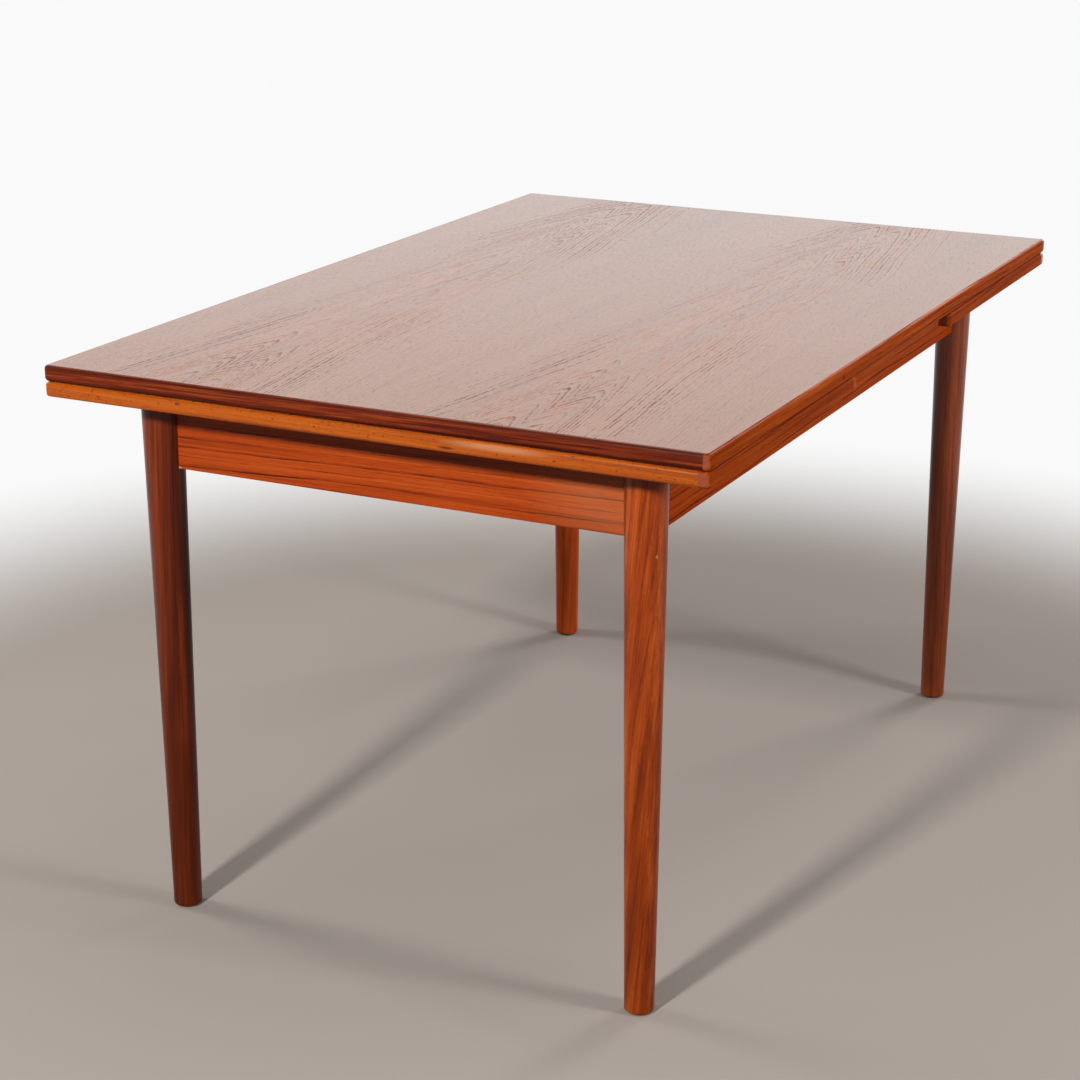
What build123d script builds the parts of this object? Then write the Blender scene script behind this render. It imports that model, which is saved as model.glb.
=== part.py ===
"""Draw-leaf dining table: four turned legs, a rail frame, a loose pegged top and two leaves on runners.

Millimetres. +Z up, floor at Z = 0, X along the table, Y across it, origin under the middle of the table.
Left is -X, right is +X, front is -Y, rear is +Y. The table is closed: both leaves lie under the top.
"""

import os
from math import sqrt

from build123d import *

os.makedirs("parts", exist_ok=True)

# Overall sizes of the closed table
table_length = 1308.0
table_width = 870.0
table_height = 730.0

# Top and leaves
top_thick = 20.0
leaf_thick = 18.5
leaf_length = 467.0
leaf_side_inset = 0.5
leaf_slack = 0.5
veneer_thick = 0.8
top_side_lip = 9.0
top_end_lip = 12.0
leaf_lip = 14.0
edge_round_upper = 4.5
edge_round_lower = 5.0
leaf_round_lower = 4.0
corner_round = 5.5

# Frame
leaf_over_frame = 1.0
rail_depth = 93.0
rail_thick = 22.0
rail_outside_axis = 6.0
leg_inset_x = 85.0
leg_inset_y = 111.0
leg_top_radius = 26.0
leg_foot_radius = 18.3
foot_round = 2.5
rail_shoulder = 19.0
tenon_thick = 8.0
tenon_margin = 10.0
tenon_mitre_gap = 0.7
glide_radius = 14.0
glide_thick = 2.0
glide_chamfer = 0.8
glide_pin_radius = 1.6
glide_pin_length = 18.0

# Centre board, the cross rails under it, felt and pegs
board_side_inset = 16.0
board_thick = 19.0
board_end_gap = 1.5
board_round = 3.0
felt_radius = 12.0
felt_thick = 1.0
cross_rail_thick = 22.0
cross_rail_depth = 70.0
cross_rail_from_end = 13.5
cross_rail_housing = 6.0
peg_radius = 9.0
peg_in_top = 12.0
peg_below_top = 30.0
peg_offset_y = 250.0
peg_clearance = 0.3

# Runners and their stops
runner_wide = 26.0
runner_deep = 24.0
runner_outer_margin = 77.0
runner_grip = 100.0
runner_side_play = 0.5
runner_top_play = 0.5
runner_nose = 8.0
left_runner_y = 200.0
right_runner_y = 160.0
stop_radius = 6.0
stop_below = 10.0
stop_in_runner = 15.0
stop_play = 0.5
passing_extra = 14.0

# Corner blocks and hardware
block_reach = 88.0
block_width = 26.0
block_drop = 25.0
block_tall = 50.0
bolt_radius = 3.0
bolt_tip = 14.0
bolt_past_block = 12.0
nut_flats = 10.0
nut_thick = 5.0
washer_radius = 8.0
washer_thick = 1.5
screw_radius = 2.0
screw_head_radius = 4.2
screw_head_deep = 3.0
screw_in_leaf = 11.0
screw_bore_deep = 9.0
board_screw_from_end = 65.5
board_screw_long = 45.0

# Heights and positions that follow from the sizes above
half_length = table_length / 2
half_width = table_width / 2
top_under = table_height - top_thick
leaf_top = top_under - leaf_slack
leaf_under = leaf_top - leaf_thick
frame_top = leaf_under - leaf_over_frame
rail_under = frame_top - rail_depth
board_top = frame_top + board_thick
leg_x = half_length - leg_inset_x
leg_y = half_width - leg_inset_y
rail_inside_axis = rail_thick - rail_outside_axis
long_rail_out = leg_y + rail_outside_axis
end_rail_out = leg_x + rail_outside_axis
long_rail_in = long_rail_out - rail_thick
end_rail_in = end_rail_out - rail_thick
leaf_inner_x = half_length - leaf_length
board_half = leaf_inner_x - board_end_gap
cross_rail_inner = board_half - cross_rail_from_end - cross_rail_thick
board_screw_x = board_half - board_screw_from_end
runner_under = leaf_under - runner_deep
runner_start = half_length - runner_outer_margin
runner_end = 2 * leaf_length - half_length + runner_grip
stop_x = leaf_length - cross_rail_inner + stop_radius + stop_play
cross_under = frame_top - cross_rail_depth
tenon_low = rail_under + tenon_margin
tenon_tall = rail_depth - 2 * tenon_margin
tenon_near = (rail_inside_axis - rail_outside_axis - tenon_thick) / 2
tenon_far = tenon_near + tenon_thick

SIDES = {"left": -1, "right": 1}
DEPTHS = {"front": -1, "rear": 1}
CORNERS = [(side, depth) for side in SIDES for depth in DEPTHS]
RUNNER_Y = {"left": left_runner_y, "right": right_runner_y}


def save(part, name):
    part.label = name
    export_step(part, f"parts/{name}.step")


def span(low, high):
    """Centre and size of the interval between two ends in either order."""
    return (low + high) / 2, abs(high - low)


def block(x_ends, y_ends, z_ends, mode=Mode.ADD):
    """Box between three pairs of ends, in the open builder."""
    (cx, lx), (cy, ly), (cz, lz) = span(*x_ends), span(*y_ends), span(*z_ends)
    with Locations((cx, cy, cz)):
        Box(lx, ly, lz, mode=mode)


def at_corner(side, depth, points):
    """Plan points given inward of a leg's axis, as table coordinates."""
    sx, sy = SIDES[side], DEPTHS[depth]
    return [(sx * (leg_x - u), sy * (leg_y - v)) for u, v in points]


def prism(points, low, tall, mode=Mode.ADD):
    """Upright prism on a closed plan outline, in the open builder."""
    with BuildSketch(Plane.XY.offset(low)) as outline:
        Polygon(*points, align=None)
    extrude(outline.sketch, amount=tall, mode=mode)


# Each tenon is cut at a mitre so that two of them meet inside the leg.
mortise_long = [(rail_shoulder, tenon_near), (tenon_near, tenon_near)]
mortise_long += [(tenon_far, tenon_far), (rail_shoulder, tenon_far)]
mortise_end = [(v, u) for u, v in mortise_long]
tenon_long = [(u + tenon_mitre_gap if u < rail_shoulder else u, v) for u, v in mortise_long]
tenon_end = [(v, u) for u, v in tenon_long]
bolt_z = frame_top - block_drop - block_tall / 2
bolt_head = (rail_inside_axis + block_reach) / sqrt(2)


def bolt_plane(side, depth, along):
    """Plane across the corner bolt, at a distance from the leg's axis, facing the table's middle."""
    sx, sy = SIDES[side], DEPTHS[depth]
    step = along / sqrt(2)
    origin = (sx * (leg_x - step), sy * (leg_y - step), bolt_z)
    return Plane(origin=origin, x_dir=(0, 0, 1), z_dir=(-sx, -sy, 0))


def bolt_hole(side, depth):
    """Bores the corner bolt's hole in the open builder."""
    with BuildSketch(bolt_plane(side, depth, bolt_tip)) as section:
        Circle(bolt_radius)
    extrude(section.sketch, amount=2 * block_reach, mode=Mode.SUBTRACT)


# Turned legs with a housing and mortises for the rails
for side, depth in CORNERS:
    leg_centre = (SIDES[side] * leg_x, DEPTHS[depth] * leg_y)
    with BuildPart() as leg:
        with BuildSketch(Plane(origin=(*leg_centre, 0), x_dir=(1, 0, 0), z_dir=(0, -1, 0))):
            with BuildLine():
                Polyline(
                    (0, glide_thick),
                    (leg_foot_radius, glide_thick),
                    (leg_top_radius, frame_top - 1),
                    (leg_top_radius - 1, frame_top),
                    (0, frame_top),
                    close=True,
                )
            make_face()
        revolve(axis=Axis((*leg_centre, 0), (0, 0, 1)))
        fillet(leg.edges().group_by(Axis.Z)[0], foot_round)
        far = 2 * leg_top_radius
        long_end = [(rail_shoulder, -rail_outside_axis), (far, -rail_outside_axis)]
        long_end += [(far, rail_inside_axis), (rail_shoulder, rail_inside_axis)]
        end_end = [(v, u) for u, v in long_end]
        for outline in (long_end, end_end):
            prism(at_corner(side, depth, outline), rail_under, rail_depth, Mode.SUBTRACT)
        for outline in (mortise_long, mortise_end):
            prism(at_corner(side, depth, outline), tenon_low, tenon_tall, Mode.SUBTRACT)
        bolt_hole(side, depth)
        with BuildSketch(Plane((*leg_centre, glide_thick))):
            Circle(glide_pin_radius)
        extrude(amount=glide_pin_length, mode=Mode.SUBTRACT)
    save(leg.part, f"leg_{side}_{depth}")

    with BuildPart() as glide:
        with BuildSketch(Plane((*leg_centre, 0))):
            Circle(glide_radius)
        extrude(amount=glide_thick)
        chamfer(glide.edges().group_by(Axis.Z)[0], glide_chamfer)
        with BuildSketch(Plane((*leg_centre, glide_thick))):
            Circle(glide_pin_radius)
        extrude(amount=glide_pin_length)
    save(glide.part, f"glide_{side}_{depth}")

# Long rails, housed on the inside for the cross rails
board_screw_y = long_rail_out - rail_thick / 2
for depth, sy in DEPTHS.items():
    with BuildPart() as rail:
        reach = leg_x - rail_shoulder
        block((-reach, reach), (sy * long_rail_in, sy * long_rail_out), (rail_under, frame_top))
        for side in SIDES:
            prism(at_corner(side, depth, tenon_long), tenon_low, tenon_tall)
            bolt_hole(side, depth)
        for sx in SIDES.values():
            cross_x = (sx * cross_rail_inner, sx * (cross_rail_inner + cross_rail_thick))
            housing_y = (sy * long_rail_in, sy * (long_rail_in + cross_rail_housing))
            block(cross_x, housing_y, (cross_under, frame_top), Mode.SUBTRACT)
            with Locations((sx * board_screw_x, sy * board_screw_y, board_top - board_screw_long / 2)):
                Cylinder(screw_radius, board_screw_long, mode=Mode.SUBTRACT)
        lower = rail.edges().filter_by(Axis.X).group_by(Axis.Z)[0]
        fillet(lower.filter_by(lambda e: e.length > reach), 1.5)
    save(rail.part, f"long_rail_{depth}")

# End rails, notched from above for the runners of their own leaf
notch_half = runner_wide / 2 + runner_side_play
for side, sx in SIDES.items():
    with BuildPart() as rail:
        reach = leg_y - rail_shoulder
        block((sx * end_rail_in, sx * end_rail_out), (-reach, reach), (rail_under, frame_top))
        for depth in DEPTHS:
            prism(at_corner(side, depth, tenon_end), tenon_low, tenon_tall)
            bolt_hole(side, depth)
        for sy in DEPTHS.values():
            middle = sy * RUNNER_Y[side]
            notch = (middle - notch_half, middle + notch_half)
            block((sx * end_rail_in, sx * end_rail_out), notch, (runner_under, frame_top), Mode.SUBTRACT)
        lower = rail.edges().filter_by(Axis.Y).group_by(Axis.Z)[0]
        fillet(lower.filter_by(lambda e: e.length > reach), 1.5)
    save(rail.part, f"end_rail_{side}")

# Cross rails: one pair of notches carries the near leaf's runners, a deeper pair lets the other leaf's pass
for side, sx in SIDES.items():
    with BuildPart() as rail:
        reach = long_rail_in + cross_rail_housing
        cross_x = (sx * cross_rail_inner, sx * (cross_rail_inner + cross_rail_thick))
        block(cross_x, (-reach, reach), (cross_under, frame_top))
        for other in SIDES:
            sill = runner_under if other == side else runner_under - passing_extra
            for sy in DEPTHS.values():
                middle = sy * RUNNER_Y[other]
                notch = (middle - notch_half, middle + notch_half)
                block(cross_x, notch, (sill, frame_top), Mode.SUBTRACT)
    save(rail.part, f"cross_rail_{side}")

# Corner blocks across each corner, with a bolt into the leg
block_outline = [(block_reach - block_width, rail_inside_axis), (block_reach, rail_inside_axis)]
block_outline += [(rail_inside_axis, block_reach), (rail_inside_axis, block_reach - block_width)]
for side, depth in CORNERS:
    with BuildPart() as brace:
        prism(at_corner(side, depth, block_outline), bolt_z - block_tall / 2, block_tall)
        bolt_hole(side, depth)
    save(brace.part, f"corner_block_{side}_{depth}")

with BuildPart() as bolts:
    for side, depth in CORNERS:
        with BuildSketch(bolt_plane(side, depth, bolt_tip)):
            Circle(bolt_radius)
        extrude(amount=bolt_head + bolt_past_block - bolt_tip)
        with BuildSketch(bolt_plane(side, depth, bolt_head)):
            Circle(washer_radius)
        extrude(amount=washer_thick)
        with BuildSketch(bolt_plane(side, depth, bolt_head + washer_thick)):
            RegularPolygon(nut_flats / 2, 6, major_radius=False)
        extrude(amount=nut_thick)
save(bolts.part, "corner_bolts")

# Centre board between the leaves, screwed down on the long rails, with the peg holes
screw_spots = [(sx * board_screw_x, sy * board_screw_y) for sx in (-1, 1) for sy in (-1, 1)]
with BuildPart() as board:
    board_y = half_width - board_side_inset
    block((-board_half, board_half), (-board_y, board_y), (frame_top, board_top))
    fillet(board.edges().filter_by(Axis.X).group_by(Axis.Z)[0], board_round)
    fillet(board.edges().filter_by(Axis.X).group_by(Axis.Z)[-1], 1.0)
    with Locations(*[(0, sy * peg_offset_y, frame_top + board_thick / 2) for sy in (-1, 1)]):
        Cylinder(peg_radius + peg_clearance, board_thick, mode=Mode.SUBTRACT)
    for x, y in screw_spots:
        with Locations((x, y, board_top - board_screw_long / 2)):
            Cylinder(screw_radius, board_screw_long, mode=Mode.SUBTRACT)
        with Locations((x, y, board_top - screw_head_deep / 2)):
            Cone(screw_radius, screw_head_radius, screw_head_deep, mode=Mode.SUBTRACT)
save(board.part, "centre_board")

with BuildPart() as board_screws:
    for x, y in screw_spots:
        with Locations((x, y, board_top - board_screw_long / 2)):
            Cylinder(screw_radius, board_screw_long)
        with Locations((x, y, board_top - screw_head_deep / 2)):
            Cone(screw_radius, screw_head_radius, screw_head_deep)
save(board_screws.part, "board_screws")

with BuildPart() as felt:
    with Locations((0, 0, board_top)):
        with GridLocations(2 * (board_half - 35), half_width - 100, 2, 3):
            Cylinder(felt_radius, felt_thick, align=(Align.CENTER, Align.CENTER, Align.MIN))
save(felt.part, "felt_pads")


def rounded_slab(x_ends, half_y, z_ends, lower_round):
    """Whole board with rounded edges and corners, before it is divided into core, lippings and veneer."""
    (cx, lx), (cz, lz) = span(*x_ends), span(*z_ends)
    with BuildPart() as slab:
        with BuildSketch(Plane((cx, 0, min(z_ends)))):
            RectangleRounded(lx, 2 * half_y, corner_round)
        extrude(amount=lz)
        fillet(slab.faces().sort_by(Axis.Z)[-1].edges(), edge_round_upper)
        fillet(slab.faces().sort_by(Axis.Z)[0].edges(), lower_round)
    return slab.part


def veneer_sheet(x_ends, half_y, z_top):
    """Face veneer, laid over core and lippings up to the rounded edge."""
    cx, lx = span(*x_ends)
    with BuildPart() as sheet:
        with BuildSketch(Plane((cx, 0, z_top - veneer_thick))):
            inset = 2 * edge_round_upper
            RectangleRounded(lx - inset, 2 * half_y - inset, corner_round - edge_round_upper)
        extrude(amount=veneer_thick)
    return sheet.part


def cut_piece(slab, sheet, x_ends, y_ends, z_ends):
    """The piece of a board that lies in a box, under the veneer."""
    with BuildPart() as piece:
        add(slab)
        block(x_ends, y_ends, z_ends, Mode.INTERSECT)
        add(sheet, mode=Mode.SUBTRACT)
    return piece


# Loose top: core, lippings, veneer and the guide pegs
# Each lipping runs past the next at one end and butts against the last at the other, round the board.
top_x = (-half_length, half_length)
top_z = (top_under, table_height)
top_slab = rounded_slab(top_x, half_width, top_z, edge_round_lower)
top_sheet = veneer_sheet(top_x, half_width, table_height)
core_x = half_length - top_end_lip
core_y = half_width - top_side_lip
peg_spots = [(0, sy * peg_offset_y) for sy in (-1, 1)]
top_core = cut_piece(top_slab, top_sheet, (-core_x, core_x), (-core_y, core_y), top_z)
with top_core:
    with Locations(*[(x, y, top_under + peg_in_top / 2) for x, y in peg_spots]):
        Cylinder(peg_radius, peg_in_top, mode=Mode.SUBTRACT)
save(top_core.part, "top_core")
save(top_sheet, "top_veneer")
for side, sx in SIDES.items():
    ends = (sx * core_x, sx * half_length)
    across = (sx * core_y, -sx * half_width)
    save(cut_piece(top_slab, top_sheet, ends, across, top_z).part, f"top_end_lipping_{side}")
for depth, sy in DEPTHS.items():
    ends = (sy * core_y, sy * half_width)
    along = (sy * half_length, -sy * core_x)
    save(cut_piece(top_slab, top_sheet, along, ends, top_z).part, f"top_side_lipping_{depth}")

with BuildPart() as pegs:
    peg_long = peg_in_top + peg_below_top
    with Locations(*[(x, y, top_under + peg_in_top - peg_long / 2) for x, y in peg_spots]):
        Cylinder(peg_radius, peg_long)
    chamfer(pegs.edges().group_by(Axis.Z)[0], 2.5)
save(pegs.part, "top_pegs")

# Leaves: core, lippings, veneer, runners with their screws and stop pegs
leaf_y = half_width - leaf_side_inset
leaf_core_y = leaf_y - leaf_lip
leaf_z = (leaf_under, leaf_top)
screw_x = [runner_start - 50 - k * (runner_start - leaf_inner_x - 90) / 2 for k in range(3)]
for side, sx in SIDES.items():
    leaf_x = (sx * leaf_inner_x, sx * half_length)
    leaf_core_x = (sx * (leaf_inner_x + leaf_lip), sx * (half_length - leaf_lip))
    slab = rounded_slab(leaf_x, leaf_y, leaf_z, leaf_round_lower)
    sheet = veneer_sheet(leaf_x, leaf_y, leaf_top)
    rows = [sy * RUNNER_Y[side] for sy in (-1, 1)]
    spots = [(sx * x, y) for x in screw_x for y in rows]

    core = cut_piece(slab, sheet, leaf_core_x, (-leaf_core_y, leaf_core_y), leaf_z)
    with core:
        with Locations(*[(x, y, leaf_under + screw_in_leaf / 2) for x, y in spots]):
            Cylinder(screw_radius, screw_in_leaf, mode=Mode.SUBTRACT)
    save(core.part, f"{side}_leaf_core")
    save(sheet, f"{side}_leaf_veneer")
    outer = (sx * (half_length - leaf_lip), sx * half_length)
    inner = (sx * leaf_inner_x, sx * (leaf_inner_x + leaf_lip))
    for label, ends, turn in (("outer", outer, sx), ("inner", inner, -sx)):
        lipping = cut_piece(slab, sheet, ends, (turn * leaf_core_y, -turn * leaf_y), leaf_z)
        save(lipping.part, f"{side}_leaf_{label}_lipping")
    for depth, sy in DEPTHS.items():
        along = (inner[1], outer[1]) if sx == sy else (inner[0], outer[0])
        lipping = cut_piece(slab, sheet, along, (sy * leaf_core_y, sy * leaf_y), leaf_z)
        save(lipping.part, f"{side}_leaf_lipping_{depth}")

    for (depth, sy), y in zip(DEPTHS.items(), rows):
        with BuildPart() as runner:
            sides_y = (y - runner_wide / 2, y + runner_wide / 2)
            full_end = leaf_inner_x + 1
            low_top = frame_top - runner_top_play
            block((sx * full_end, sx * runner_start), sides_y, (runner_under, leaf_under))
            block((-sx * runner_end, sx * full_end), sides_y, (runner_under, low_top))
            tips = runner.edges().filter_by(Axis.Y).group_by(Axis.Z)[0]
            fillet(tips, runner_nose)
            for x in screw_x:
                with Locations((sx * x, y, runner_under + runner_deep / 2)):
                    Cylinder(screw_radius, runner_deep, mode=Mode.SUBTRACT)
                with Locations((sx * x, y, runner_under + screw_bore_deep / 2)):
                    Cylinder(screw_head_radius + 0.3, screw_bore_deep, mode=Mode.SUBTRACT)
            with Locations((-sx * stop_x, y, runner_under + stop_in_runner / 2)):
                Cylinder(stop_radius, stop_in_runner, mode=Mode.SUBTRACT)
        save(runner.part, f"{side}_runner_{depth}")

    with BuildPart() as screws:
        head_z = runner_under + screw_bore_deep
        shank = leaf_under + screw_in_leaf - head_z
        for x, y in spots:
            with Locations((x, y, head_z + shank / 2)):
                Cylinder(screw_radius, shank)
            with Locations((x, y, head_z - screw_head_deep / 2)):
                Cylinder(screw_head_radius, screw_head_deep)
    save(screws.part, f"{side}_runner_screws")

    with BuildPart() as stops:
        stop_long = stop_below + stop_in_runner
        with Locations(*[(-sx * stop_x, y, runner_under + stop_in_runner - stop_long / 2) for y in rows]):
            Cylinder(stop_radius, stop_long)
        chamfer(stops.edges().group_by(Axis.Z)[0], 1.5)
    save(stops.part, f"{side}_runner_stops")
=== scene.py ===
"""Looks of the draw-leaf dining table: oiled teak and its veneers over beech, steel, felt and nylon."""

import math

import bmesh
import bpy
from mathutils import Euler, Matrix, Vector


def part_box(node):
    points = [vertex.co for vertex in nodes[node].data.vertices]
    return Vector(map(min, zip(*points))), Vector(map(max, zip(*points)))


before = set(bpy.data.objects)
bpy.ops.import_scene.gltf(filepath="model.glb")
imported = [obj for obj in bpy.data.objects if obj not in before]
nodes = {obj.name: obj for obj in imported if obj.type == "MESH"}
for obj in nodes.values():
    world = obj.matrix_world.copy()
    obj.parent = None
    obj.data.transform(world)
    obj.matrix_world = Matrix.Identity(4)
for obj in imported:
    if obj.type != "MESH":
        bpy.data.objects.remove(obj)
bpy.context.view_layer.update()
MM = 1000.0


def linear(screen_colour):
    """A colour written as it looks on a screen, turned to linear light with full alpha."""
    parts = [int(screen_colour[i:i + 2], 16) / 255 for i in (1, 3, 5)]
    light = [p / 12.92 if p <= 0.04045 else ((p + 0.055) / 1.055) ** 2.4 for p in parts]
    return (*light, 1.0)


def add(tree, kind, feeds=None, stops=None, **settings):
    """Adds one shader node: its settings, its colour stops, and what each socket is fed or holds."""
    made = tree.nodes.new("ShaderNode" + kind)
    for key, value in settings.items():
        setattr(made, key, value)
    for key, value in (feeds or {}).items():
        if isinstance(value, bpy.types.NodeSocket):
            tree.links.new(value, made.inputs[key])
        else:
            made.inputs[key].default_value = value
    if stops:
        ramp = made.color_ramp.elements
        while len(ramp) < len(stops):
            ramp.new(1.0)
        for element, (position, colour) in zip(ramp, stops):
            element.position = position
            element.color = linear(colour)
    return made


def new_material(name):
    """An empty material, and the tree its nodes go into."""
    material = bpy.data.materials.new(name)
    material.use_nodes = True
    material.node_tree.nodes.clear()
    return material, material.node_tree


def wear(piece, material):
    """Puts a finish on a CAD piece."""
    piece.data.materials.clear()
    piece.data.materials.append(material)


# Woods

# Each pattern gives its cell across and along the fibres in millimetres, a pull, which is how far it takes
# the colour, and for spots the noise levels between which they open. ring is the width of a year's growth,
# and ring_reach how far from the heart its lines stay strong. Teak's pores are about 0.3 mm wide and are
# drawn three times as wide, to show at this distance.

# Solid teak, planed and oiled: warm orange brown with thin dark year lines, and a satin sheen from the oil.
TEAK = dict(
    finish="oiled_teak", ring=8.0, ring_pull=0.8, ring_power=6.0, ring_least=0.08, ring_reach=10000.0,
    waver=(85.0, 620.0), waver_pull=22.0, streak=(2.4, 190.0), streak_pull=0.8,
    band=(24.0, 800.0), band_pull=0.8, dash=(1.6, 30.0), dash_pull=0.3,
    pore=(0.9, 13.0), pore_pull=0.5, pore_open=(0.56, 0.69), pore_colour="#3a1508",
    ember=(10.0, 70.0), ember_pull=0.0, ember_open=(0.48, 0.64), ember_colour="#a8531a", ember_reach=70.0,
    fleck=(2.6, 5.0), fleck_pull=0.0, fleck_open=(0.66, 0.72), fleck_colour="#4a1f0c",
    # The edge pull and edge colour paint shade along rounded edges.
    end_pull=0.65, end_colour="#96543f", edge_shade_pull=0.0, edge_shade_colour="#2e0a02",
    rough=0.28, rough_pull=0.22, ior=1.5, specular=0.1, coat=0.0, coat_break=3.0, relief=0.00012,
)

RAIL_TEAK = dict(
    TEAK, ring=12.0, ring_power=9.0, ring_pull=0.85, ring_least=0.35, waver=(60.0, 380.0), streak_pull=0.8,
    dash=(2.0, 60.0), dash_pull=0.5, stops=[(0.1, "#cb5b20"), (0.5, "#ab400e"), (0.95, "#521806")],
)
LONG_RAIL_TEAK = dict(RAIL_TEAK, rough=0.45, specular=0.005)
SIDE_TEAK = dict(
    TEAK, ring=7.0, rough=0.45, specular=0.005,
    stops=[(0.1, "#c6601c"), (0.5, "#a4400b"), (0.95, "#581d04")],
)
# Its edge pull paints shade along its rounded edges.
DEEP_TEAK = dict(
    SIDE_TEAK, edge_shade_pull=0.12, coat=0.9, stops=[(0.1, "#c8611d"), (0.5, "#a6420c"), (0.95, "#581d04")]
)
LEG_TEAK = dict(
    TEAK, ring=11.0, ring_pull=0.22, ring_power=2.5, band=(13.0, 260.0), band_pull=1.2, streak_pull=0.7,
    specular=0.15, stops=[(0.1, "#ca6122"), (0.5, "#a2400f"), (0.95, "#591c06")],
)
# Painted light: a lighter copy of the leg teak for the far rear leg, brightened to make up for the light it
# lacks under the table.
PAINTED_LIGHT_AMBER_TEAK = dict(LEG_TEAK, stops=[(0.1, "#e06f2a"), (0.5, "#c65018"), (0.95, "#78280a")])
DARK_TEAK = dict(LEG_TEAK, stops=[(0.1, "#913e17"), (0.5, "#6b2507"), (0.95, "#370d03")])
BROWN_TEAK = dict(LEG_TEAK, specular=0.3, stops=[(0.1, "#b4562b"), (0.5, "#97421a"), (0.95, "#591e0b")])
# Its edge pull paints shade along its rounded edges, strongly.
RED_TEAK = dict(
    TEAK, ring=6.0, streak=(1.8, 70.0), streak_pull=1.4, edge_shade_pull=0.75, coat=0.9,
    stops=[(0.1, "#9e461d"), (0.5, "#70230a"), (0.95, "#340d04")],
)
GOLD_TEAK = dict(
    TEAK, ring=10.0, ring_pull=0.35, streak_pull=0.7, fleck_pull=0.75, specular=0.2,
    stops=[(0.1, "#d0701e"), (0.5, "#b6530b"), (0.95, "#763104")],
)
INNER_TEAK = dict(GOLD_TEAK, end_pull=0.2, rough=0.45, specular=0.005)

# Steamed beech, planed and left bare: pale pinkish straw with short brown flecks, and no shine.
BEECH = dict(
    TEAK, finish="planed_beech", ring=4.0, ring_pull=0.3, waver_pull=10.0, streak_pull=0.7, band_pull=0.6,
    pore=(1.1, 4.0), pore_pull=0.35, pore_open=(0.60, 0.72), pore_colour="#9a6a42",
    end_pull=0.3, end_colour="#a9794e", rough=0.55, rough_pull=0.1, specular=0.4,
    stops=[(0.1, "#dcb98e"), (0.5, "#cda173"), (0.95, "#ad7d50")],
)

# Sanded backing veneer over the core, left without oil: dull, even and greyer than the face side.
BACKING = dict(
    TEAK, finish="sanded_backing_veneer", ring=6.0, ring_pull=0.4, streak_pull=0.8,
    pore_pull=0.4, pore_colour="#5e3a22", end_pull=0.0, rough=0.6, rough_pull=0.1, specular=0.4,
    stops=[(0.1, "#bd8a5e"), (0.5, "#a67247"), (0.95, "#7c4e2d")],
)

# Crown-cut teak veneer under satin lacquer: nested pointed flames of broken dark lines, embers of orange
# in their cores, straight streaks beside them, and a soft white glare when it is seen at a low angle.
TOP_VENEER = dict(
    TEAK, finish="crown_cut_teak_veneer", ring=6.5, ring_pull=1.2, ring_power=3.5, ring_reach=62.0,
    waver=(40.0, 170.0), waver_pull=14.0, streak=(2.6, 150.0), streak_pull=0.5,
    band=(46.0, 1200.0), band_pull=0.7, dash=(1.6, 13.0), dash_pull=0.95,
    pore=(1.0, 15.0), pore_pull=0.5, pore_open=(0.54, 0.66), pore_colour="#36190d",
    ember_pull=0.9, end_pull=0.0, rough=0.2, specular=0.18, coat=1.0, coat_break=2.6,
    stops=[(0.1, "#a5673b"), (0.5, "#925429"), (0.95, "#622c0d")],
)

# What all the woods share: noise detail, the levels between which a pattern opens, and how far each
# softens, sinks or hollows the surface
PATTERN_DETAIL = dict(waver=3.0, streak=3.0, band=2.0, dash=1.0, pore=1.0, ember=2.0, fleck=1.0)
RING_CHANCE = (0.2, 0.9)
RING_FADE = 50.0
RING_FADED = 0.12
RING_MEAN = 0.06
PATCH_OPEN = (0.35, 0.6)
PATCH_LEAST = 0.25
DASH_OPEN = (0.42, 0.58)
LATE_CROWD = 0.6
LATE_HOLLOW = 0.3
HOLLOW_STRENGTH = 0.6
EMBER_FADE = 25.0
EDGE_PEAK = 0.25
END_FACE = (0.6, 0.95)
UPPER_FACE = (0.75, 0.97)
MARK_FADE = (0.35, 1.0)
PORE_SINK = 0.25
EMBER_SINK = 0.5
FIBRE_TURN = {"x": (0.0, -math.pi / 2, 0.0), "y": (math.pi / 2, 0.0, 0.0), "z": (0.0, 0.0, 0.0)}
LEAN_AXIS = {"x": 1, "y": 0, "z": 0}


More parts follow.
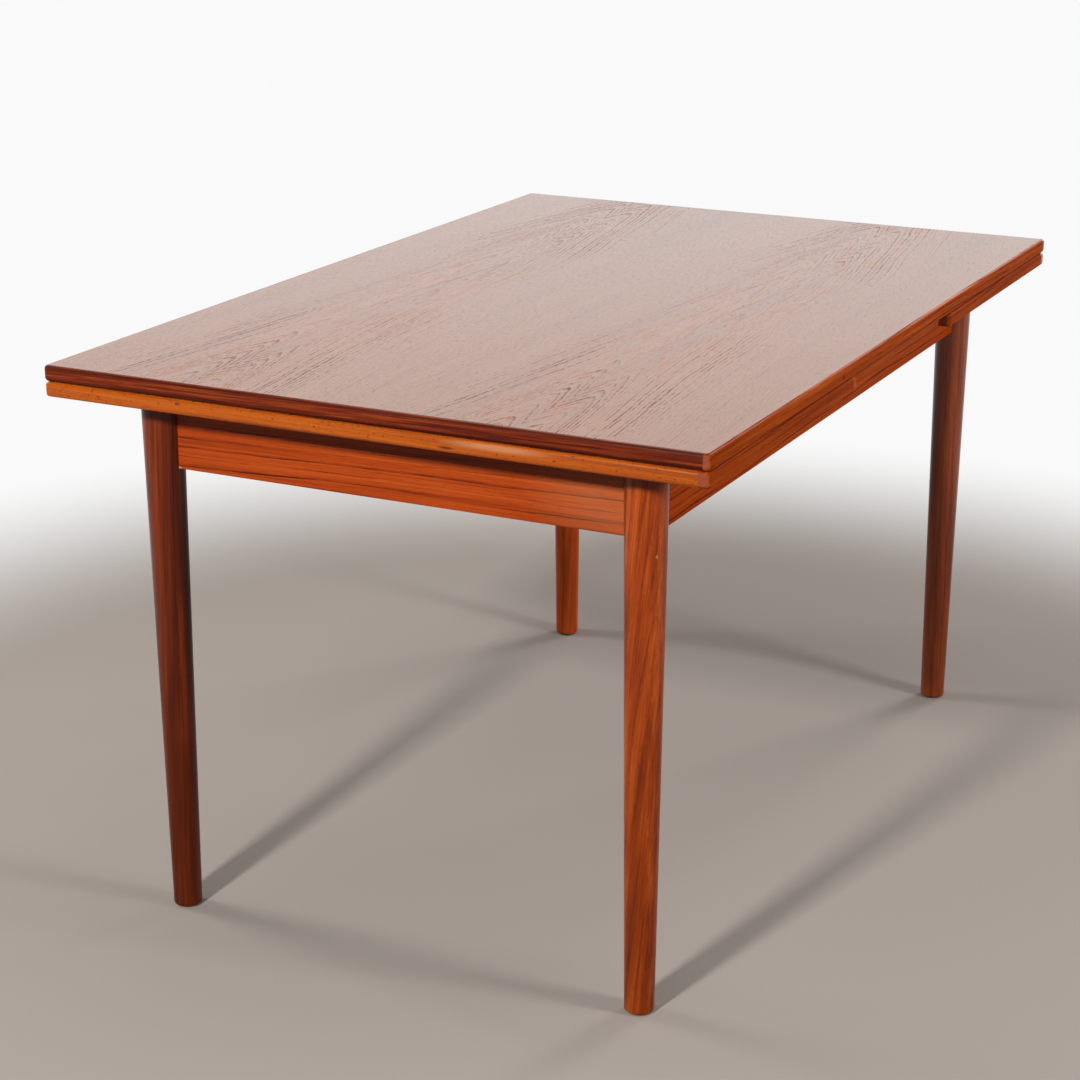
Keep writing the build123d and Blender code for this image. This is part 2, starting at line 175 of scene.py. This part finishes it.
def lay_grain(tree, fibre, heart, look, end_axis, climb=0.0, bold=1.0, marks=()):
    """Growth rings round the heart of the tree, then streaks, pores and end grain, under the finish."""
    cloud = {}
    for pattern, detail in PATTERN_DETAIL.items():
        if look[pattern + "_pull"]:
            across, along = look[pattern]
            cells = add(
                tree, "VectorMath", {0: fibre, 1: (1 / across, 1 / across, 1 / along)}, operation="MULTIPLY"
            )
            cloud[pattern] = add(
                tree, "TexNoise", {"Vector": cells.outputs[0], "Scale": 1.0, "Detail": detail}
            )

    # Year rings, bent by the waver and opened by the tree's taper
    drift = cloud["waver"]
    centred = add(tree, "VectorMath", {0: drift.outputs["Color"], 1: (0.5, 0.5, 0.5)}, operation="SUBTRACT")
    bend = (look["waver_pull"], look["waver_pull"], 0.0)
    bent = add(tree, "VectorMath", {0: centred.outputs[0], 1: bend, 2: heart}, operation="MULTIPLY_ADD")
    flat = add(tree, "VectorMath", {0: bent.outputs[0], 1: (1.0, 1.0, 0.0)}, operation="MULTIPLY")
    reach = add(tree, "VectorMath", {0: flat.outputs[0]}, operation="LENGTH").outputs["Value"]
    grown = add(tree, "Math", {0: reach, 1: climb}, operation="ADD")
    years = add(tree, "Math", {0: grown.outputs[0], 1: look["ring"]}, operation="DIVIDE")
    season = add(tree, "Math", {0: years.outputs[0]}, operation="FRACT")
    year = add(tree, "Math", {0: years.outputs[0]}, operation="FLOOR")
    chance = add(tree, "TexWhiteNoise", {"W": year.outputs[0]}, noise_dimensions="1D")
    vigour = add(
        tree, "MapRange", {"Value": chance.outputs["Value"], "From Min": RING_CHANCE[0],
                           "From Max": RING_CHANCE[1], "To Min": look["ring_least"]},
    )
    figure = add(
        tree, "MapRange", {"Value": reach, "From Min": look["ring_reach"],
                           "From Max": look["ring_reach"] + RING_FADE, "To Min": 1.0, "To Max": RING_FADED},
    )
    late = add(tree, "Math", {0: season.outputs[0], 1: look["ring_power"]}, operation="POWER")
    patch = add(
        tree, "MapRange", {"Value": drift.outputs[0], "From Min": PATCH_OPEN[0], "From Max": PATCH_OPEN[1],
                           "To Min": PATCH_LEAST},
    )
    broken = add(
        tree, "MapRange", {"Value": cloud["dash"].outputs[0], "From Min": DASH_OPEN[0],
                           "From Max": DASH_OPEN[1], "To Min": 1.0 - look["dash_pull"],
                           "To Max": 1.0 + look["dash_pull"]},
    )
    line = late.outputs[0]
    for share in (vigour.outputs[0], figure.outputs[0], patch.outputs[0], broken.outputs[0], bold):
        line = add(tree, "Math", {0: line, 1: share}, operation="MULTIPLY").outputs[0]

    # Colour from streaks, bands and rings
    level = 0.5 - 0.5 * (look["streak_pull"] + look["band_pull"]) - RING_MEAN * look["ring_pull"]
    for source, pattern in ((cloud["streak"].outputs[0], "streak"), (cloud["band"].outputs[0], "band"),
                            (line, "ring")):
        level = add(
            tree, "Math", {0: source, 1: look[pattern + "_pull"], 2: level}, operation="MULTIPLY_ADD"
        ).outputs[0]
    colour = add(tree, "ValToRGB", {"Fac": level}, stops=look["stops"]).outputs[0]

    # Pores, crowded in each ring's late wood
    opened = add(
        tree, "MapRange", {"Value": cloud["pore"].outputs[0], "From Min": look["pore_open"][0],
                           "From Max": look["pore_open"][1]},
    )
    crowd = add(
        tree, "Math", {0: late.outputs[0], 1: LATE_CROWD, 2: 1.0 - LATE_CROWD}, operation="MULTIPLY_ADD"
    )
    pores = add(tree, "Math", {0: opened.outputs[0], 1: crowd.outputs[0]}, operation="MULTIPLY").outputs[0]
    filled = add(tree, "Math", {0: pores, 1: look["pore_pull"]}, operation="MULTIPLY")
    tints = [(filled, look["pore_colour"])]

    # Embers in the flames' cores, flecks, painted shade on rounded edges, end grain and marks
    warm_core = 0.0
    if look["ember_pull"]:
        warm = add(
            tree, "MapRange", {"Value": cloud["ember"].outputs[0], "From Min": look["ember_open"][0],
                               "From Max": look["ember_open"][1], "To Max": look["ember_pull"]},
        )
        core = add(
            tree, "MapRange", {"Value": reach, "From Min": look["ember_reach"] - EMBER_FADE,
                               "From Max": look["ember_reach"], "To Min": 1.0, "To Max": 0.0},
        )
        inner = add(tree, "Math", {0: warm.outputs[0], 1: core.outputs[0]}, operation="MULTIPLY")
        ripe = add(tree, "Math", {0: inner.outputs[0], 1: season.outputs[0]}, operation="MULTIPLY")
        tints.append((ripe, look["ember_colour"]))
        warm_core = ripe.outputs[0]
    if look["fleck_pull"]:
        speck = add(
            tree, "MapRange", {"Value": cloud["fleck"].outputs[0], "From Min": look["fleck_open"][0],
                               "From Max": look["fleck_open"][1], "To Max": look["fleck_pull"]},
        )
        tints.append((speck, look["fleck_colour"]))

    spot = add(tree, "TexCoord")
    facing = add(tree, "SeparateXYZ", {0: spot.outputs["Normal"]})
    # Painted shade along rounded edges: darkest where a face slopes half way between upright and level, on
    # upper and lower arrises alike.
    if look["edge_shade_pull"]:
        upright = add(tree, "Math", {0: facing.outputs[2]}, operation="ABSOLUTE")
        slope = add(tree, "Math", {0: 1.0, 1: upright.outputs[0]}, operation="SUBTRACT")
        round_edge = add(tree, "Math", {0: upright.outputs[0], 1: slope.outputs[0]}, operation="MULTIPLY")
        painted_edge_shade = add(
            tree, "Math", {0: round_edge.outputs[0], 1: look["edge_shade_pull"] / EDGE_PEAK},
            operation="MULTIPLY",
        )
        tints.append((painted_edge_shade, look["edge_shade_colour"]))
    if look["end_pull"]:
        square = add(tree, "Math", {0: facing.outputs["xyz".index(end_axis)]}, operation="ABSOLUTE")
        cut = add(
            tree, "MapRange", {"Value": square.outputs[0], "From Min": END_FACE[0],
                               "From Max": END_FACE[1], "To Max": look["end_pull"]},
        )
        tints.append((cut, look["end_colour"]))
    for place, spread, mark_pull, mark_colour in marks:
        off = add(
            tree, "VectorMath", {0: spot.outputs["Object"], 1: Vector(place) / MM}, operation="SUBTRACT"
        )
        scaled = add(
            tree, "VectorMath", {0: off.outputs[0], 1: [MM / reach_mm for reach_mm in spread]},
            operation="MULTIPLY",
        )
        away = add(tree, "VectorMath", {0: scaled.outputs[0]}, operation="LENGTH")
        mark = add(
            tree, "MapRange", {"Value": away.outputs["Value"], "From Min": MARK_FADE[0],
                               "From Max": MARK_FADE[1], "To Min": mark_pull, "To Max": 0.0},
        )
        tints.append((mark, mark_colour))
    for share, tint in tints:
        colour = add(
            tree, "Mix", {0: share.outputs[0], 6: colour, 7: linear(tint)}, data_type="RGBA"
        ).outputs[2]

    rough = add(tree, "Math", {0: pores, 1: look["rough_pull"], 2: look["rough"]}, operation="MULTIPLY_ADD")
    hollow = add(tree, "Math", {0: line, 1: LATE_HOLLOW, 2: pores}, operation="MULTIPLY_ADD")
    relief = add(
        tree, "Bump",
        {"Height": hollow.outputs[0], "Strength": HOLLOW_STRENGTH, "Distance": look["relief"]},
        invert=True,
    )

    # Lacquer on upward faces, sunk into the late wood, the pores and the embers
    lacquer = look["coat"]
    if lacquer:
        bare = add(tree, "Math", {0: pores, 1: PORE_SINK}, operation="MULTIPLY").outputs[0]
        for share, opened_by in ((look["coat_break"], line), (EMBER_SINK * look["ember_pull"], warm_core)):
            bare = add(
                tree, "Math", {0: opened_by, 1: share, 2: bare}, operation="MULTIPLY_ADD"
            ).outputs[0]
        film = add(tree, "MapRange", {"Value": bare, "To Min": look["coat"], "To Max": 0.0})
        upper = add(
            tree, "MapRange", {"Value": facing.outputs[2], "From Min": UPPER_FACE[0],
                               "From Max": UPPER_FACE[1]},
        )
        lacquer = add(
            tree, "Math", {0: film.outputs[0], 1: upper.outputs[0]}, operation="MULTIPLY"
        ).outputs[0]
    wood = add(
        tree, "BsdfPrincipled",
        {"Base Color": colour, "Roughness": rough.outputs[0], "IOR": look["ior"],
         "Specular IOR Level": look["specular"], "Coat Weight": lacquer, "Coat Roughness": look["rough"],
         "Normal": relief.outputs[0]},
    )
    add(tree, "OutputMaterial", {"Surface": wood.outputs[0]})


def board(node, look, along, heart, lean=0.0, marks=()):
    """One board of its own tree for a piece: heart is how far the piece's middle lies from the tree's."""
    material, tree = new_material(look["finish"] + "_" + node)
    low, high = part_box(node)
    turn = list(FIBRE_TURN[along])
    turn[LEAN_AXIS[along]] += math.radians(lean)
    middle = Euler(turn).to_matrix() @ ((low + high) / 2 * MM)
    place = Vector((heart[0], heart[1], 0.0)) - middle
    spot = add(tree, "TexCoord")
    fibre = add(
        tree, "Mapping",
        {"Vector": spot.outputs["Object"], "Location": place, "Rotation": turn, "Scale": (MM,) * 3},
    )
    lay_grain(tree, fibre.outputs[0], fibre.outputs[0], look, along, marks=marks)
    wear(nodes[node], material)


# Top veneer

# Two veneer leaves lie side by side, slip matched, so the same crown figure comes twice across the table.
# The tree narrows upwards, so the knife opens its rings into nested pointed flames along each leaf. It
# narrows fastest near its butt and again near its crest, where the flames crowd, and each flame has two
# tips. Places along the table are in millimetres from its middle.
LEAF_WIDTH = 430.0
LEAF_JOINT = 15.0
CROWN_DEPTH = 8.0
CROWN_LOBE = 21.0
SLIP = 46.0
TAPER = 0.07
BUTT_TAPER = 0.17
BUTT_END = -430.0
BUTT_BLEND = 160.0
CREST_TAPER = 0.11
CREST_START = 200.0
CREST_BLEND = 140.0
NEAR_FLAMES = (-520.0, -160.0)
NEAR_LEAST = 0.13
FAR_FLAMES = (150.0, 360.0)
FAR_MOST = 0.4
STEEP_WITHIN = (30.0, 95.0)
TILT = -0.12
REAR_LEAF_BOLDER = 0.4


def crown_cut_veneer():
    """The veneer of the top and leaves, laid along the table, with its boldest flames at the near end."""
    material, tree = new_material(TOP_VENEER["finish"])
    spot = add(tree, "TexCoord")
    sized = add(
        tree, "Mapping",
        {"Vector": spot.outputs["Object"], "Location": (0.0, -LEAF_JOINT, 0.0), "Rotation": FIBRE_TURN["x"],
         "Scale": (MM,) * 3},
    )
    parts = add(tree, "SeparateXYZ", {0: sized.outputs[0]})
    across, along = parts.outputs[1], parts.outputs[2]
    leaf = add(tree, "Math", {0: across, 1: LEAF_WIDTH}, operation="DIVIDE")
    leaf_no = add(tree, "Math", {0: leaf.outputs[0]}, operation="FLOOR")
    slipped = add(tree, "Math", {0: leaf_no.outputs[0], 1: SLIP, 2: along}, operation="MULTIPLY_ADD")
    from_edge = add(tree, "Math", {0: across, 1: LEAF_WIDTH, 2: 0.0}, operation="WRAP")
    from_middle = add(tree, "Math", {0: from_edge.outputs[0], 1: LEAF_WIDTH / 2}, operation="SUBTRACT")
    beside = add(tree, "Math", {0: from_middle.outputs[0]}, operation="ABSOLUTE")
    from_tip = add(tree, "Math", {0: beside.outputs[0], 1: CROWN_LOBE}, operation="SUBTRACT")
    heart = add(tree, "CombineXYZ", {0: CROWN_DEPTH, 1: from_tip.outputs[0], 2: slipped.outputs[0]})
    fibre = add(
        tree, "CombineXYZ", {0: leaf_no.outputs[0], 1: from_middle.outputs[0], 2: slipped.outputs[0]}
    )
    near_flames = add(
        tree, "MapRange", {"Value": slipped.outputs[0], "From Min": NEAR_FLAMES[0],
                           "From Max": NEAR_FLAMES[1], "To Min": 1.0, "To Max": NEAR_LEAST},
    )
    far_flames = add(
        tree, "MapRange", {"Value": slipped.outputs[0], "From Min": FAR_FLAMES[0],
                           "From Max": FAR_FLAMES[1], "To Max": FAR_MOST},
    )
    flames = add(tree, "Math", {0: near_flames.outputs[0], 1: far_flames.outputs[0]}, operation="ADD")
    leaf_share = add(
        tree, "Math", {0: leaf_no.outputs[0], 1: REAR_LEAF_BOLDER, 2: 1.0 + REAR_LEAF_BOLDER},
        operation="MULTIPLY_ADD",
    )
    bold = add(tree, "Math", {0: flames.outputs[0], 1: leaf_share.outputs[0]}, operation="MULTIPLY")
    from_butt = add(tree, "Math", {0: slipped.outputs[0], 1: BUTT_END}, operation="SUBTRACT")
    in_butt = add(
        tree, "Math", {0: from_butt.outputs[0], 1: 0.0, 2: BUTT_BLEND}, operation="SMOOTH_MIN"
    )
    steep = add(
        tree, "MapRange", {"Value": beside.outputs[0], "From Min": STEEP_WITHIN[0],
                           "From Max": STEEP_WITHIN[1], "To Min": BUTT_TAPER, "To Max": BUTT_TAPER / 3},
    )
    tilted = add(tree, "Math", {0: from_middle.outputs[0], 1: TILT}, operation="MULTIPLY")
    stem = add(
        tree, "Math", {0: slipped.outputs[0], 1: TAPER, 2: tilted.outputs[0]}, operation="MULTIPLY_ADD"
    )
    to_crest = add(tree, "Math", {0: slipped.outputs[0], 1: CREST_START}, operation="SUBTRACT")
    in_crest = add(
        tree, "Math", {0: to_crest.outputs[0], 1: 0.0, 2: CREST_BLEND}, operation="SMOOTH_MAX"
    )
    trunk = add(
        tree, "Math", {0: in_crest.outputs[0], 1: CREST_TAPER, 2: stem.outputs[0]}, operation="MULTIPLY_ADD"
    )
    climb = add(
        tree, "Math", {0: in_butt.outputs[0], 1: steep.outputs[0], 2: trunk.outputs[0]},
        operation="MULTIPLY_ADD",
    )
    lay_grain(
        tree, fibre.outputs[0], heart.outputs[0], TOP_VENEER, "x", climb.outputs[0], bold.outputs[0]
    )
    return material


# Metal, felt and feet


def zinc_plated_steel():
    """Turned screws and bolts: bright zinc gone cloudy, a soft grey metal shine."""
    material, tree = new_material("zinc_plated_steel")
    spot = add(tree, "TexCoord")
    bloom = add(tree, "TexNoise", {"Vector": spot.outputs["Object"], "Scale": MM / 2.5, "Detail": 3.0})
    colour = add(tree, "ValToRGB", {"Fac": bloom.outputs[0]}, stops=[(0.3, "#8f8f8c"), (0.7, "#b9b8b3")])
    rough = add(tree, "MapRange", {"Value": bloom.outputs[0], "To Min": 0.28, "To Max": 0.5})
    metal = add(
        tree, "BsdfPrincipled",
        {"Base Color": colour.outputs[0], "Metallic": 1.0, "Roughness": rough.outputs[0]},
    )
    add(tree, "OutputMaterial", {"Surface": metal.outputs[0]})
    return material


def pressed_wool_felt():
    """Felt pads under the top: matted short fibres, mottled green, no shine."""
    material, tree = new_material("pressed_wool_felt")
    spot = add(tree, "TexCoord")
    fibre = add(tree, "TexNoise", {"Vector": spot.outputs["Object"], "Scale": MM / 0.8, "Detail": 4.0})
    colour = add(tree, "ValToRGB", {"Fac": fibre.outputs[0]}, stops=[(0.3, "#3d4a35"), (0.7, "#5d6b4e")])
    nap = add(tree, "Bump", {"Height": fibre.outputs[0], "Strength": 0.7, "Distance": 0.0004})
    felt = add(
        tree, "BsdfPrincipled",
        {"Base Color": colour.outputs[0], "Roughness": 0.95, "Normal": nap.outputs[0]},
    )
    add(tree, "OutputMaterial", {"Surface": felt.outputs[0]})
    return material


def moulded_nylon():
    """Dark brown nylon glides: a dull sheen, clouded where the floor has scuffed them."""
    material, tree = new_material("moulded_nylon")
    spot = add(tree, "TexCoord")
    scuff = add(tree, "TexNoise", {"Vector": spot.outputs["Object"], "Scale": MM / 3.0, "Detail": 4.0})
    colour = add(tree, "ValToRGB", {"Fac": scuff.outputs[0]}, stops=[(0.35, "#33241b"), (0.75, "#5a463a")])
    rough = add(tree, "MapRange", {"Value": scuff.outputs[0], "To Min": 0.4, "To Max": 0.7})
    nylon_skin = add(
        tree, "BsdfPrincipled",
        {"Base Color": colour.outputs[0], "Roughness": rough.outputs[0], "IOR": 1.53},
    )
    add(tree, "OutputMaterial", {"Surface": nylon_skin.outputs[0]})
    return material


# Finishes on the pieces

veneer = crown_cut_veneer()
for node in ("top_veneer", "left_leaf_veneer", "right_leaf_veneer"):
    wear(nodes[node], veneer)

steel = zinc_plated_steel()
for node in ("board_screws", "corner_bolts", "left_runner_screws", "right_runner_screws"):
    wear(nodes[node], steel)

wear(nodes["felt_pads"], pressed_wool_felt())

nylon = moulded_nylon()

# Small marks of use and growth, with painted shade at two legs' feet and painted highlights on the end rail
# and a leaf lipping: place and spread in millimetres, how strong, and the colour
KNOT = "#3a1206"
DENT = "#d9b48c"
# Painted highlight: a pale patch standing for sheen on the wood.
PAINTED_HIGHLIGHT = "#e0a070"
# Painted shade: the legs darken towards the floor, where the light falls off.
PAINTED_FOOT_SHADE = "#3c1406"
MARKS = {
    "leg_left_front": [
        ((-583.3, -344.1, 581.6), (2.0, 2.0, 2.6), 0.4, DENT),
        # painted shade, darker towards the foot
        ((-569.0, -324.0, 0.0), (200.0, 200.0, 480.0), 0.22, PAINTED_FOOT_SHADE),
    ],
    # painted shade, darker towards the foot
    "leg_left_rear": [((-569.0, 324.0, 0.0), (200.0, 200.0, 560.0), 0.4, PAINTED_FOOT_SHADE)],
    "end_rail_left": [
        ((-575.0, 302.0, 597.0), (6.0, 9.0, 5.0), 0.7, DENT),
        # painted highlight, a broad pale patch of sheen on the rail
        ((-575.0, -300.0, 636.0), (20.0, 130.0, 70.0), 0.16, PAINTED_HIGHLIGHT),
    ],
    "top_end_lipping_left": [((-654.0, -184.0, 717.0), (6.0, 34.0, 3.0), 0.75, KNOT)],
    "left_leaf_outer_lipping": [
        ((-654.0, -116.0, 697.0), (6.0, 14.0, 2.2), 0.8, KNOT),
        ((-654.0, 242.0, 705.0), (6.0, 5.0, 2.5), 0.6, KNOT),
        # painted highlight along the lipping
        ((-654.0, -178.0, 704.0), (9.0, 80.0, 5.0), 0.5, PAINTED_HIGHLIGHT),
    ],
    "top_side_lipping_front": [((-239.0, -435.0, 719.7), (5.0, 4.0, 4.0), 0.85, KNOT)],
}

# Each board: its look, the way its fibres run, where the tree's heart lies in millimetres, and how many
# degrees the grain leans
boards = [
    ("leg_left_front", LEG_TEAK, "z", (46.0, 30.0), -6.5),
    ("leg_left_rear", DARK_TEAK, "z", (70.0, -34.0), -2.0),
    ("leg_right_front", BROWN_TEAK, "z", (-58.0, 40.0), 1.2),
    # painted light: the lighter teak copy for this far leg
    ("leg_right_rear", PAINTED_LIGHT_AMBER_TEAK, "z", (35.0, 62.0), -1.6),
    ("centre_board", dict(SIDE_TEAK, end_pull=0.0), "x", (160.0, 20.0), 0.0),
    ("top_core", BACKING, "x", (180.0, 60.0), 0.0),
    ("top_pegs", BEECH, "z", (40.0, 40.0), 0.0),
]
for end, side in (("left", -1), ("right", 1)):
    boards += [
        (f"end_rail_{end}", RAIL_TEAK, "y", (side * 30.0, 150.0), -0.8 * side),
        (f"cross_rail_{end}", BEECH, "y", (side * 60.0, 90.0), 0.0),
        (f"top_end_lipping_{end}", RED_TEAK, "y", (side * 40.0, 70.0), 0.5),
        (f"{end}_leaf_outer_lipping", GOLD_TEAK, "y", (side * 55.0, 60.0), -0.6),
        (f"{end}_leaf_inner_lipping", INNER_TEAK, "y", (side * 35.0, 95.0), 0.0),
        (f"{end}_leaf_core", BACKING, "x", (200.0, 30.0 * side), 0.0),
        (f"{end}_runner_stops", BEECH, "z", (30.0, 40.0), 0.0),
    ]
    for line, across in (("front", -1), ("rear", 1)):
        boards += [
            (f"{end}_leaf_lipping_{line}", SIDE_TEAK, "x", (60.0, 50.0 * across), 0.5 * side),
            (f"{end}_runner_{line}", BEECH, "x", (90.0, 40.0 * across), 0.4 * side),
            (f"corner_block_{end}_{line}", BEECH, "z", (50.0 * side, 60.0 * across), 0.0),
        ]
        wear(nodes[f"glide_{end}_{line}"], nylon)
for line, across in (("front", -1), ("rear", 1)):
    boards += [
        (f"long_rail_{line}", LONG_RAIL_TEAK, "x", (150.0, 25.0 * across), 0.4),
        (f"top_side_lipping_{line}", DEEP_TEAK, "x", (55.0, 40.0 * across), -0.4),
    ]
for node, look, along, heart, lean in boards:
    board(node, look, along, heart, lean, MARKS.get(node, ()))


# Floor, light and camera

# A matt warm grey floor that pales to white a step away from the table. It throws back little light, so
# the undersides stay as deep as they are in a large room.
FLOOR_HALF = 14.0
FADE_FROM = 1.05
FADE_TO = 1.95
FLOOR_SEEN = "#9e948c"
FLOOR_BOUNCE = "#4a4641"
floor_mesh = bpy.data.meshes.new("pale_floor")
shape = bmesh.new()
bmesh.ops.create_grid(shape, x_segments=1, y_segments=1, size=FLOOR_HALF)
shape.to_mesh(floor_mesh)
shape.free()
floor = bpy.data.objects.new("pale_floor", floor_mesh)
bpy.context.scene.collection.objects.link(floor)

floor_material, floor_tree = new_material("matt_pale_floor")
world = bpy.data.worlds.new("pale_studio")
world.use_nodes = True
sky = world.node_tree
sky.nodes.clear()
BACKGROUND = 0.95
OVERHEAD = 0.35
GREYS_BETWEEN = (0.22, 0.5)
ROOM_LIGHT = 0.05
shows = {}
for tree in (floor_tree, sky):
    ray = add(tree, "LightPath")
    mirrored = add(
        tree, "Math", {0: ray.outputs["Is Glossy Ray"], 1: ray.outputs["Is Transmission Ray"]},
        operation="MAXIMUM",
    )
    shows[tree] = add(
        tree, "Math", {0: ray.outputs["Is Camera Ray"], 1: mirrored.outputs[0]}, operation="MAXIMUM"
    ).outputs[0]

ground = add(floor_tree, "TexCoord")
distance = add(floor_tree, "VectorMath", {0: ground.outputs["Object"]}, operation="LENGTH")
fade = add(
    floor_tree, "MapRange",
    {"Value": distance.outputs["Value"], "From Min": FADE_FROM, "From Max": FADE_TO},
    interpolation_type="SMOOTHSTEP",
)
seen_fade = add(floor_tree, "Math", {0: fade.outputs[0], 1: shows[floor_tree]}, operation="MULTIPLY")
tone = add(
    floor_tree, "Mix", {0: shows[floor_tree], 6: linear(FLOOR_BOUNCE), 7: linear(FLOOR_SEEN)},
    data_type="RGBA",
)
matt = add(floor_tree, "BsdfPrincipled", {"Base Color": tone.outputs[2], "Roughness": 0.9})
white = add(floor_tree, "Emission", {"Color": linear("#ffffff"), "Strength": BACKGROUND})
floor_skin = add(
    floor_tree, "MixShader", {0: seen_fade.outputs[0], 1: matt.outputs[0], 2: white.outputs[0]}
)
add(floor_tree, "OutputMaterial", {"Surface": floor_skin.outputs[0]})
floor_mesh.materials.append(floor_material)

# The backdrop is white round the table and greys overhead.
towards = add(sky, "TexCoord")
height = add(sky, "SeparateXYZ", {0: towards.outputs["Generated"]})
backdrop = add(
    sky, "MapRange", {"Value": height.outputs[2], "From Min": GREYS_BETWEEN[0],
                      "From Max": GREYS_BETWEEN[1], "To Min": BACKGROUND, "To Max": OVERHEAD},
)
strength = add(
    sky, "MapRange", {"Value": shows[sky], "To Min": ROOM_LIGHT, "To Max": backdrop.outputs[0]}
)
room = add(sky, "Background", {"Color": linear("#ffffff"), "Strength": strength.outputs[0]})
add(sky, "OutputWorld", {"Surface": room.outputs[0]})
bpy.context.scene.world = world


def softbox(name, place, aim, size, power):
    """A square studio softbox in metres and watts, turned to face what it lights."""
    lamp_data = bpy.data.lights.new(name, "AREA")
    lamp_data.shape = "SQUARE"
    lamp_data.size = size
    lamp_data.energy = power
    lamp = bpy.data.objects.new(name, lamp_data)
    lamp.location = place
    lamp.rotation_euler = (Vector(aim) - Vector(place)).to_track_quat("-Z", "Y").to_euler()
    bpy.context.scene.collection.objects.link(lamp)


softbox("end_softbox", (-3.9, 0.24, 2.43), (-0.2, 0.0, 0.5), 0.32, 151.0)
softbox("side_softbox", (-0.3, -3.7, 2.05), (0.0, 0.0, 0.5), 0.8, 76.0)
softbox("overhead_softbox", (0.4, 0.0, 3.0), (0.3, 0.0, 0.7), 2.6, 22.0)
softbox("rear_softbox", (-0.4, 3.4, 2.3), (0.0, 0.0, 0.5), 1.2, 58.0)
softbox("far_softbox", (3.6, -1.3, 2.3), (0.2, 0.0, 0.5), 1.2, 58.0)

# The camera was worked out from the corners of the top and the feet, in a square picture.
CAMERA_PLACE = (-2.9586, -1.3806, 1.4508)
CAMERA_HEADING = 0.45153
CAMERA_DIP = 0.3352
CAMERA_ROLL = 0.00294
camera_data = bpy.data.cameras.new("table_view")
camera_data.sensor_width = 36.0
camera_data.lens = 81.574
camera_data.shift_x = -0.0221
camera_data.shift_y = 0.0412
camera = bpy.data.objects.new("table_view", camera_data)
camera.matrix_world = (
    Matrix.Translation(CAMERA_PLACE)
    @ Matrix.Rotation(CAMERA_HEADING - math.pi / 2, 4, "Z")
    @ Matrix.Rotation(math.pi / 2 - CAMERA_DIP, 4, "X")
    @ Matrix.Rotation(CAMERA_ROLL, 4, "Z")
)
bpy.context.scene.collection.objects.link(camera)
bpy.context.scene.camera = camera
bpy.context.scene.view_settings.view_transform = "Standard"
